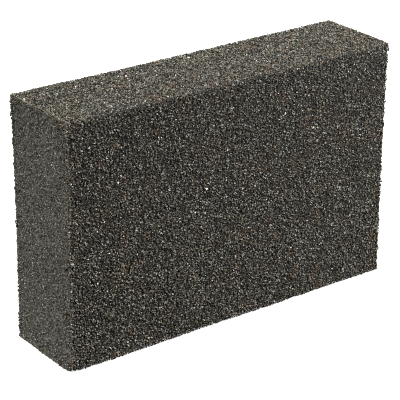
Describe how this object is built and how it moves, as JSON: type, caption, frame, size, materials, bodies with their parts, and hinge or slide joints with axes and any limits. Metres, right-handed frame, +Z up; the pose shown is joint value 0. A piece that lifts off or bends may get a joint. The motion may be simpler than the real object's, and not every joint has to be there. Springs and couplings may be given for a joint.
{
  "type": "sanding block",
  "caption": "Flexible foam sanding block: a rectangular foam core with coarse grit bonded to its long sides and bare foam at both ends.",
  "frame": {"origin": "centre of the long narrow side that the block stands on", "axes": "+Z up the block's width, +X along its length, +Y through its thickness from the front working face to the back one"},
  "size_m": [0.1, 0.025, 0.066],
  "materials": {
    "foam": "matte",
    "resin_bond": "satin",
    "abrasive_grit": "matte"
  },
  "bodies": {
    "root": {"foam_core": "foam", "bottom_bond_coat": "resin_bond", "back_bond_coat": "resin_bond", "top_bond_coat": "resin_bond", "front_bond_coat": "resin_bond", "bottom_grit_layer": "abrasive_grit", "back_grit_layer": "abrasive_grit", "top_grit_layer": "abrasive_grit", "front_grit_layer": "abrasive_grit"}
  },
  "joints": []
}
